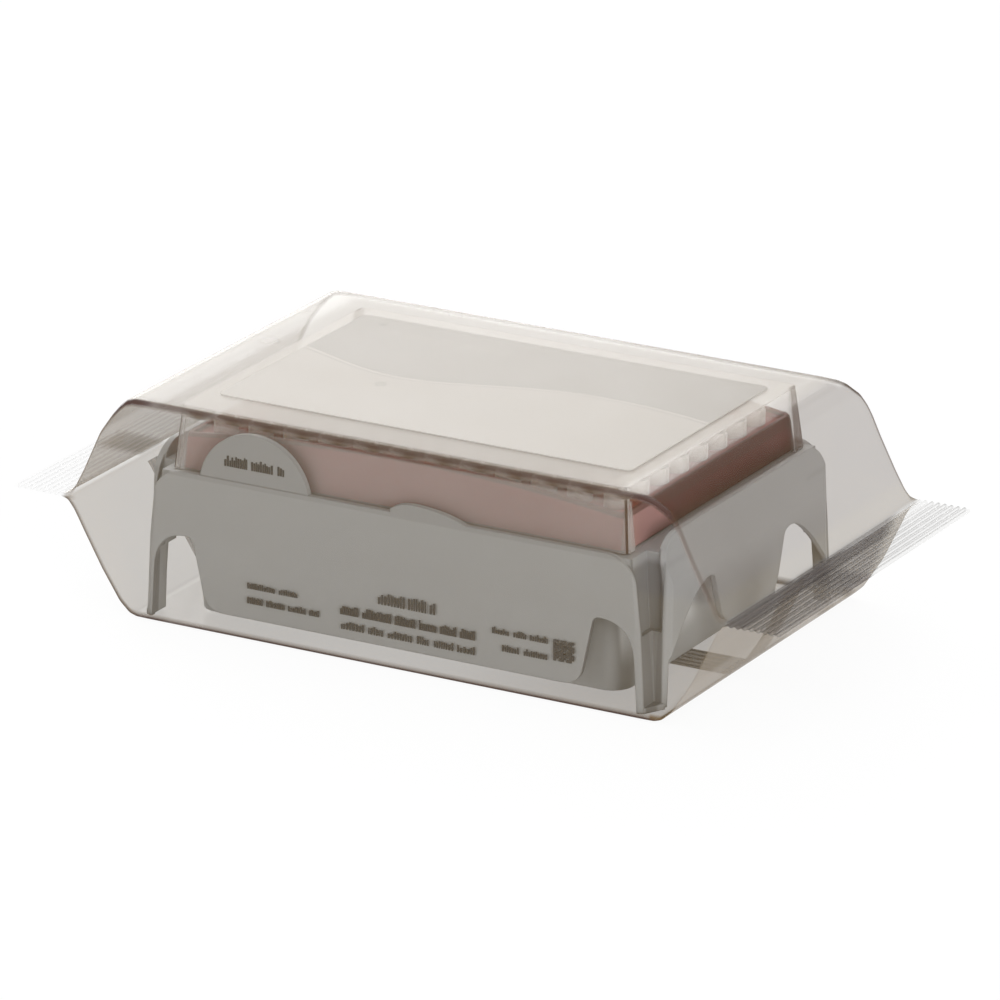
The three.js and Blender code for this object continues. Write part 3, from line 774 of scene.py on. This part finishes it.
def cell_bars():
    """A square of eight by eight cells, with some left out by a plain rule."""
    cells = np.linspace(41.3, 46.5, 9)
    rows = np.linspace(9.3, 14.2, 9)
    return [
        (cells[i], cells[i + 1], rows[j], rows[j + 1])
        for i in range(8) for j in range(8) if (i * j + i) % 3 != 1
    ]


TAB_FACE = -43.9 * MM     # front of the round thumb tab
BAR_THICK = 0.15 * MM
FRONT_LINES = [  # left, right, middle height and stroke height in mm, and density of strokes
    (-36.4, -23.5, 12.5, 1.4, 0.7), (-36.5, -17.7, 9.1, 1.6, 0.72), (-2.8, 11.9, 15.7, 2.9, 0.5),
    (-12.5, 22.0, 11.3, 2.3, 0.8), (-12.3, 22.0, 7.7, 1.9, 0.55), (26.0, 40.0, 13.6, 1.6, 0.7),
    (28.5, 40.0, 9.8, 1.6, 0.65),
]
TAB_LINE = (-42.5, -27.0, 40.6, 2.6, 0.7)


def make_front_print():
    """Front print: lines of small strokes without letters, and a square of plain cells."""
    random = np.random.default_rng(4)
    bars = [bar for line in FRONT_LINES for bar in stroke_bars(random, *line)] + cell_bars()
    face = FRONT_LABEL_LOW.y + 0.02 * MM
    shells = [bar_shell(*bar, face, BAR_THICK) for bar in bars]
    tab_bars = stroke_bars(random, *TAB_LINE)
    shells += [bar_shell(*bar, TAB_FACE - BAR_THICK, BAR_THICK) for bar in tab_bars]
    print_piece = shell_object("front_print_bars", shells)
    dress(print_piece, ink_material(), "front_print", "front_label")


def make_labels():
    """Printed lid label and front print."""
    refinish("lid_label", card_material())
    make_front_print()


# ------------ film


FIN_ROOT = 84.0           # distance from the middle where the fins start, in mm
FIN_SEAM = 83.4           # where the film starts to look sealed, in mm
UPPER_PLY = [  # distance from the middle and height of the upper ply, in mm
    (0, WRAP_TOP), (60, WRAP_TOP), (64, 51.15), (66, 50.7), (69.4, 48.9), (71.2, 46.8),
    (72.5, 44.6), (74.5, 40.3), (78.5, 32.6), (81, 28.3), (82.8, 26.4), (84, 26.0), (97, 26.0),
]
UPPER_PLY_LEFT = [  # the same at the left end, where the ply is drawn out fuller
    (0, WRAP_TOP), (62, WRAP_TOP), (65.5, 51.2), (67.3, 50.7), (69, 49.2), (71, 46.9),
    (74.2, 42.4), (78.5, 33.2), (81, 28.5), (82.8, 26.4), (84, 26.0), (97, 26.0),
]
LOWER_PLY = [  # the lower ply at both ends
    (0, 0), (58, 0), (62, 0), (65.2, 0.05), (67, 0.6), (69.5, 2.9), (74, 9.8), (78.5, 17.8),
    (81, 22.4), (82.8, 24.8), (84, 25.2), (97, 25.2),
]
LAP_NEAR, LAP_FAR = -13.0 * MM, -2.5 * MM     # edges in Y of the seal under the wrap


def ply(table, x):
    """Height of a ply at distances from the middle: straight between points, then smoothed."""
    step, smoothing = 0.05, 1.2     # in mm
    along, height = np.array(table, float).T
    fine = np.linspace(0, FIN_END, round(FIN_END / step) + 1)
    level = np.interp(fine, along, height)
    kernel = np.hanning(round(smoothing / step) + 1)
    kernel /= kernel.sum()
    smooth = np.convolve(np.pad(level, len(kernel) // 2, mode="edge"), kernel, mode="valid")
    return np.interp(x, fine, smooth)


def film_levels(x):
    """Heights of the lower and upper ply at places along X. Takes mm, returns metres.

    At the right end the lower ply's slope is drawn out by a set distance, which falls
    evenly to nothing over its last stretch before the fin.
    """
    drawn_out, stretch = 1.3, 8
    away = np.abs(x)
    upper = np.where(x < 0, ply(UPPER_PLY_LEFT, away), ply(UPPER_PLY, away))
    high = np.minimum(upper, WRAP_TOP) * MM
    further = np.where(x > 0, drawn_out * np.clip((FIN_ROOT - away) / stretch, 0, 1), 0.0)
    low = np.maximum(ply(LOWER_PLY, away - further), 0.0) * MM
    return low, high


def fold_shade_strengths(x):
    """How dark the painted shade along the upper and lower long folds is: both fade down the slopes of
    the ends.
    """
    away = np.abs(x)
    upper = np.interp(away, [0, 60, 64, 69.5, 71, 80, 84], [0.75, 0.85, 1.3, 1.3, 0.6, 0.4, 0.2])
    left = np.interp(away, [0, 64, 68, 74, 84], [0.9, 1.0, 0.7, 0.5, 0.5])
    right = np.interp(away, [0, 64, 68, 74, 84], [0.9, 1.0, 0.35, 0.05, 0.0])
    return upper, np.where(x < 0, left, right)


def tightened(outline, half_width, half_height, radius, share):
    """Corner points drawn towards the sharp corner, so that each radius shrinks to its share."""
    corner = np.array([half_width, half_height])
    size, sign = np.abs(outline), np.sign(outline)
    inside = size - (corner - radius)
    round_part = (inside > 0).all(axis=1)
    moved = corner - radius * share[:, None] + inside * share[:, None]
    return np.where(round_part[:, None], moved * sign, outline)


def fin_wave(away):
    """Lift of a fin at distances from the middle: a sine wave that fades out at both ends."""
    share = np.clip((away - FIN_ROOT) / (FIN_END - FIN_ROOT), 0.0, 1.0)
    count = sizes().fin_ridges
    fade = np.clip(share * count * 2, 0, 1) * np.clip((1 - share) * count * 2, 0, 1)
    return sizes().fin_ridge * np.sin(share * count * 2 * np.pi) * fade


def film_section(bottom, top, dip):
    """One section: a rectangle with round corners whose long sides dip inwards at a crease.

    The lower corners are tighter than the upper ones, and the dip falls off exponentially
    with the height from the crease. Returns Y, Z, which points are on the upper half, and
    how strongly each shows a fold, 1 at a corner and 0 away from it.
    """
    crease, reach = 22 * MM, 2.2 * MM
    half_width, half_height = WRAP_SIDE * MM, (top - bottom) / 2
    radius = min(sizes().film_edge, half_height * 0.98)
    outline = ring(half_width, half_height, radius, steps=6, along_x=40, along_y=32)
    share = np.where(outline[:, 1] < 0, sizes().film_edge_low / sizes().film_edge, 1.0)
    outline = tightened(outline, half_width, half_height, radius, share)
    y, z = outline[:, 0], outline[:, 1] + (top + bottom) / 2
    to_corner = np.hypot(half_width - np.abs(y), half_height - np.abs(outline[:, 1]))
    folded = np.clip(1.6 - (to_corner - 0.41 * radius) / (0.5 * MM), 0, 1)
    on_side = np.abs(y) > half_width - 0.1 * MM
    y = y - np.sign(y) * dip * np.exp(-np.abs(z - crease) / reach) * on_side
    return y, z, outline[:, 1] > 0, folded


def film_tube():
    """Sections in Y and Z along X. Returns the points and their sealed and fold values.

    Each section lies between the two plies, and on the fins it is lifted by a wave.
    """
    body = np.concatenate([
        np.linspace(0, 56, 15), np.linspace(57, 68, 34), np.linspace(68.5, FIN_ROOT, 46),
    ])
    half = np.concatenate([body, np.linspace(FIN_ROOT + 0.2, FIN_END, 104)])
    x = np.concatenate([-half[:0:-1], half])
    away = np.abs(x)
    low, high = film_levels(x)
    dips = 0.3 * MM * np.clip((68 - away) / 6, 0, 1)
    sections, folds = [], []
    for place_x, bottom, top, lift, dip, upper_fold, lower_fold in zip(
            x * MM, low, high, fin_wave(away), dips, *fold_shade_strengths(x)):
        y, z, is_upper, folded = film_section(bottom, top, dip)
        folds.append(folded * np.where(is_upper, upper_fold, lower_fold))
        sections.append(np.column_stack([np.full(len(y), place_x), y, z + lift]))
    sealed = np.repeat(np.clip(away - FIN_SEAM, 0, 1)[:, None], len(folds[0]), axis=1)
    return np.array(sections), sealed, np.array(folds) * (1 - sealed)


def lap_seal():
    """The seal under the wrap: a thin flat section carried along the lower ply."""
    x = np.concatenate([np.linspace(-82, -58, 60), np.linspace(-54, 54, 28), np.linspace(58, 82, 60)])
    low, _ = film_levels(x)
    outline = ring((LAP_FAR - LAP_NEAR) / 2, 0.05 * MM, 0.04 * MM, steps=2, along_x=8)
    strip = np.zeros((len(x), len(outline), 3))
    strip[:, :, 0] = x[:, None] * MM
    strip[:, :, 1] = outline[None, :, 0] + (LAP_NEAR + LAP_FAR) / 2
    strip[:, :, 2] = outline[None, :, 1] + low[:, None] + 0.3 * MM
    return strip


def film_masks(tree, x, y, z):
    """Where the film is sealed, folded, doubled or marked, where painted shade lies by the right fin's
    root and where a painted sheen lies on the top, as masks by name.
    """
    seal, fold, lap = (attribute(tree, name) for name in ("sealed", "fold", "lap"))
    right = rising(tree, x, 0.0, 50 * MM)
    leftwards = negative(tree, x)
    pitch = (FIN_END - FIN_ROOT) * MM / sizes().fin_ridges
    # The ridge lines are fainter on the right fin, up to 3 mm from its root.
    fainter = maths(tree, "MULTIPLY_ADD", rising(tree, x, 0.0, 1 * MM), -0.7, 1.0)
    shown = strongest(tree, fainter, rising(tree, x, 87 * MM, 88 * MM))
    lines = product(tree, seal, shown,
                    ridge_lines(tree, maths(tree, "ABSOLUTE", x), 84.4 * MM, pitch))
    ribs = product(tree, lap, ridge_lines(tree, y, -3.4 * MM, 2.1 * MM))
    doubled = product(tree, seal, band(tree, y, -7.8 * MM, 5.2 * MM),
                      falling(tree, leftwards, 94 * MM, 97 * MM))
    # Painted shade, not wear: a dark band across the right fin by its root, where the base's shaded
    # side shows through.
    slant = maths(tree, "MULTIPLY_ADD", maths(tree, "SUBTRACT", x, 84 * MM), 2.85, y)
    worn = product(tree, seal, right, falling(tree, slant, 30 * MM, 38 * MM))
    fading = maths(tree, "MULTIPLY_ADD", rising(tree, y, -30 * MM, 30 * MM), -0.7, 0.9)
    sheen = strongest(tree, rising(tree, leftwards, 57 * MM, 61 * MM),
                      rising(tree, y, 40.0 * MM, 42.0 * MM),
                      product(tree, band(tree, x, 61 * MM, 3.6 * MM), fading))
    return {
        "seal": seal, "fold": fold, "right": right, "marks": strongest(tree, lines, ribs),
        # smoky holds the real doubled plies together with the painted shade of the fin's root band.
        "doubled": doubled, "worn": worn, "smoky": strongest(tree, doubled, worn),
        "slope": product(tree, rising(tree, x, 61 * MM, 64 * MM),
                         rising(tree, z, 28 * MM, 31 * MM)),
        "sheen": product(tree, sheen, rising(tree, z, 50.3 * MM, 50.9 * MM), 0.4),
        "floor_ply": falling(tree, z, 0.2 * MM, 0.5 * MM),
        "end_fold": product(tree, rising(tree, z, 0.05 * MM, 0.3 * MM),
                            rising(tree, x, 65 * MM, 66 * MM),
                            falling(tree, z, 1.0 * MM, 2.0 * MM)),
        # root: painted shade, darker still close to the right fin's root.
        "root": product(tree, worn, falling(tree, x, 87.5 * MM, 88.5 * MM)),
    }


def film_colour(tree, masks):
    """The tint of the film, layer over layer."""
    # The smoky layer adds painted shade by the right fin's root to the real doubled plies, the sheen
    # layer is a painted reflection and the fold layer is painted shade.
    layers = [
        ("slope", (0.1, 0.055, 0.02)), ("seal", colours().fin), ("smoky", (0.06, 0.045, 0.04)),
        ("sheen", (0.92, 0.89, 0.84)), ("marks", (0.05, 0.04, 0.03)), ("fold", colours().fold),
    ]
    colour = tuple(colours().film)
    for name, tint in layers:
        colour = mixed(tree, masks[name], colour, tint)
    return colour


def film_hidden(tree, masks, haze):
    """Share of what lies behind that one flat ply hides, by layers of haze, seal and fold."""
    right = masks["right"]
    on_floor = maths(tree, "MULTIPLY_ADD", right, 0.065, -0.055)
    on_marks = maths(tree, "MULTIPLY_ADD", right, 0.09, 0.045)
    # The worn and root layers and part of the smoky layer hide more as painted shade by the right fin's
    # root; the doubled plies hide more for real.
    return summed(
        tree, 0.19, (haze, 0.03), (masks["seal"], -0.2), (masks["floor_ply"], on_floor),
        (masks["end_fold"], 0.45), (masks["root"], 0.2),
        (product(tree, masks["seal"], right), 0.025), (masks["marks"], on_marks),
        (masks["worn"], 0.08), (masks["doubled"], 0.13),
        (product(tree, masks["marks"], masks["smoky"]), 0.15), (masks["fold"], 0.6),
    )


def film_material():
    """Smoky film that hides more the flatter it is seen, with clear fins and painted shade along its
    folds.
    """
    material, tree, shader = blank_material("smoky_wrap_film")
    where, x, y, z = place(tree)
    finish = finish_group(tree, "Stretched film", film_group, where)
    masks = film_masks(tree, x, y, z)
    tree.links.new(film_colour(tree, masks), shader.inputs["Base Color"])
    tree.links.new(finish.outputs["Roughness"], shader.inputs["Roughness"])
    hidden = film_hidden(tree, masks, finish.outputs["Haze"])
    clear = maths(tree, "MAXIMUM", maths(tree, "SUBTRACT", 1.0, hidden), 0.03)
    tree.links.new(clearness(tree, clear), shader.inputs["Alpha"])
    shader.inputs["Specular IOR Level"].default_value = 0.3
    bump = add(tree, "ShaderNodeBump", Strength=1.0, Distance=0.3 * MM,
               Height=finish.outputs["Height"])
    tree.links.new(bump.outputs[0], shader.inputs["Normal"])
    return material


def make_film():
    """Wrap: round-cornered sections along X, closing into ridged fins, with a seal underneath."""
    tube, sealed, fold = film_tube()
    strip = lap_seal()
    film = shell_object("film_skin", [tube, strip], angle=60.0)
    tail = np.zeros(strip.shape[0] * strip.shape[1])
    values = {
        "sealed": np.concatenate([sealed.ravel(), tail]),
        "fold": np.concatenate([fold.ravel(), tail]),
        "lap": np.concatenate([np.zeros(sealed.size), tail + 1.0]),
    }
    for name, value in values.items():
        made = film.data.attributes.new(name, "FLOAT", "POINT")
        made.data.foreach_set("value", value.astype(np.float32))
    dress(film, film_material(), "wrap_film", "film_wrap")


# ------------ stage


CAMERA_AZIMUTH, CAMERA_ELEVATION = math.radians(29.602), math.radians(19.599)
CAMERA_DISTANCE, CAMERA_LENS = 1.813308, 292.327     # metres, and mm of focal length
CAMERA_TARGET = Vector((2.539, 0.0, 25.555)) * MM
LAMP_TARGET = (0.0, 0.0, 0.03)
LAMPS = [  # name, place and side in metres, power in watts
    ("overhead", (-0.1, 0.1, 1.4), 1.2, 6.5),
    ("key", (1.32, -0.84, 0.3), 0.7, 20.5),
    ("left", (-0.7, -1.3, 0.4), 0.7, 5.0),
    ("behind", (-1.11, 1.02, 0.66), 1.3, 19.0),
]
WHITE = (1, 1, 1, 1)


def seen_ray(tree):
    """1 for rays that show a surface to the eye, straight, mirrored or through clear plastic."""
    path = add(tree, "ShaderNodeLightPath")
    return strongest(tree, path.outputs["Is Camera Ray"], path.outputs["Is Glossy Ray"],
                     path.outputs["Is Transmission Ray"])


def blended(tree, share, first, second, output):
    """Sends a mix of two shader nodes to the output node of a world or a material."""
    mix = add(tree, "ShaderNodeMixShader")
    feed(tree, mix.inputs[0], share)
    feed(tree, mix.inputs[1], first.outputs[0])
    feed(tree, mix.inputs[2], second.outputs[0])
    feed(tree, tree.nodes[output].inputs["Surface"], mix.outputs[0])


def make_camera(scene):
    """Camera on a sphere about the target, looking back at it."""
    back = Vector((
        math.sin(CAMERA_AZIMUTH) * math.cos(CAMERA_ELEVATION),
        -math.cos(CAMERA_AZIMUTH) * math.cos(CAMERA_ELEVATION),
        math.sin(CAMERA_ELEVATION),
    ))
    camera = bpy.data.objects.new("camera", bpy.data.cameras.new("camera"))
    camera.data.sensor_width = 36.0
    camera.data.lens = CAMERA_LENS
    camera.data.clip_end = 50.0
    camera.location = CAMERA_TARGET + back * CAMERA_DISTANCE
    camera.rotation_euler = back.to_track_quat("Z", "Y").to_euler()
    scene.collection.objects.link(camera)
    scene.camera = camera


def make_world(scene):
    """Soft light all round, seen as plain white."""
    world = bpy.data.worlds.new("studio")
    scene.world = world
    world.use_nodes = True
    tree = world.node_tree
    soft = tree.nodes["Background"]
    soft.inputs["Color"].default_value = WHITE
    soft.inputs["Strength"].default_value = 0.58
    white = add(tree, "ShaderNodeBackground", Color=WHITE, Strength=1.0)
    blended(tree, seen_ray(tree), soft, white, "World Output")


def make_floor(scene):
    """Pale floor just under the wrap, seen almost white but for the shadow on it."""
    edge, drop = 3.0, -0.25 * MM
    floor_mesh = bpy.data.meshes.new("floor")
    floor_mesh.from_pydata(
        [(-edge, -edge, drop), (edge, -edge, drop), (edge, edge, drop), (-edge, edge, drop)],
        [], [(0, 1, 2, 3)],
    )
    floor = bpy.data.objects.new("floor", floor_mesh)
    scene.collection.objects.link(floor)
    material, tree, shader = blank_material("white_floor")
    shader.inputs["Base Color"].default_value = (0.9, 0.9, 0.9, 1)
    shader.inputs["Roughness"].default_value = 0.9
    shader.inputs["Specular IOR Level"].default_value = 0.0
    glow = add(tree, "ShaderNodeEmission", Color=WHITE, Strength=1.0)
    blended(tree, product(tree, seen_ray(tree), 0.93), shader, glow, "Material Output")
    floor_mesh.materials.append(material)


def make_lamp(scene, name, where, side, power):
    """A square soft lamp at a point, turned to the middle of the object."""
    data = bpy.data.lights.new(name, "AREA")
    data.size = side
    data.energy = power
    made = bpy.data.objects.new(name, data)
    made.location = where
    towards = Vector(LAMP_TARGET) - Vector(where)
    made.rotation_euler = towards.to_track_quat("-Z", "Y").to_euler()
    scene.collection.objects.link(made)


def make_stage():
    """Camera, white background, pale floor and soft lamps."""
    scene = bpy.context.scene
    scene.view_settings.view_transform = "Standard"
    scene.cycles.transparent_max_bounces = 32
    make_camera(scene)
    make_world(scene)
    make_floor(scene)
    for settings in LAMPS:
        make_lamp(scene, *settings)


# ------------ operators


class TIPBOX_OT_base(Operator):
    """Finish the grey base"""

    bl_idname = "tip_box.base"
    bl_label = "Base"

    def execute(self, context):
        make_base()
        return {"FINISHED"}


class TIPBOX_OT_rack(Operator):
    """Build the red-brown rack"""

    bl_idname = "tip_box.rack"
    bl_label = "Rack"

    def execute(self, context):
        make_rack()
        return {"FINISHED"}


class TIPBOX_OT_tips(Operator):
    """Build the 96 tips"""

    bl_idname = "tip_box.tips"
    bl_label = "Tips"

    def execute(self, context):
        make_tips()
        return {"FINISHED"}


class TIPBOX_OT_lid(Operator):
    """Finish the clear lid"""

    bl_idname = "tip_box.lid"
    bl_label = "Lid"

    def execute(self, context):
        make_lid()
        return {"FINISHED"}


class TIPBOX_OT_labels(Operator):
    """Print the lid label and the front"""

    bl_idname = "tip_box.labels"
    bl_label = "Labels"

    def execute(self, context):
        make_labels()
        return {"FINISHED"}


class TIPBOX_OT_film(Operator):
    """Build the sealed film wrap"""

    bl_idname = "tip_box.film"
    bl_label = "Film wrap"

    def execute(self, context):
        make_film()
        return {"FINISHED"}


class TIPBOX_OT_stage(Operator):
    """Set up the camera, floor and lamps"""

    bl_idname = "tip_box.stage"
    bl_label = "Stage"

    def execute(self, context):
        make_stage()
        return {"FINISHED"}


STEPS = (
    TIPBOX_OT_stage, TIPBOX_OT_base, TIPBOX_OT_rack, TIPBOX_OT_tips, TIPBOX_OT_lid,
    TIPBOX_OT_labels, TIPBOX_OT_film,
)


class TIPBOX_PT_panel(Panel):
    """Lists the steps and settings of the tip box"""

    bl_idname = "TIPBOX_PT_panel"
    bl_label = "Box of pipette tips"
    bl_space_type = "VIEW_3D"
    bl_region_type = "UI"
    bl_category = "Tip box"

    def draw(self, context):
        for settings in (context.scene.tip_box_sizes, context.scene.tip_box_colours):
            column = self.layout.column()
            for name in settings.__annotations__:
                column.prop(settings, name)
        for step in STEPS:
            self.layout.operator(step.bl_idname)


CLASSES = (TipBoxSizes, TipBoxColours, *STEPS, TIPBOX_PT_panel)


def register():
    for each in CLASSES:
        bpy.utils.register_class(each)
    bpy.types.Scene.tip_box_sizes = PointerProperty(type=TipBoxSizes)
    bpy.types.Scene.tip_box_colours = PointerProperty(type=TipBoxColours)


def unregister():
    del bpy.types.Scene.tip_box_colours
    del bpy.types.Scene.tip_box_sizes
    for each in reversed(CLASSES):
        bpy.utils.unregister_class(each)


def main():
    register()
    for step in STEPS:
        group_name, action = step.bl_idname.split(".")
        getattr(getattr(bpy.ops, group_name), action)()


if __name__ == "__main__":
    main()
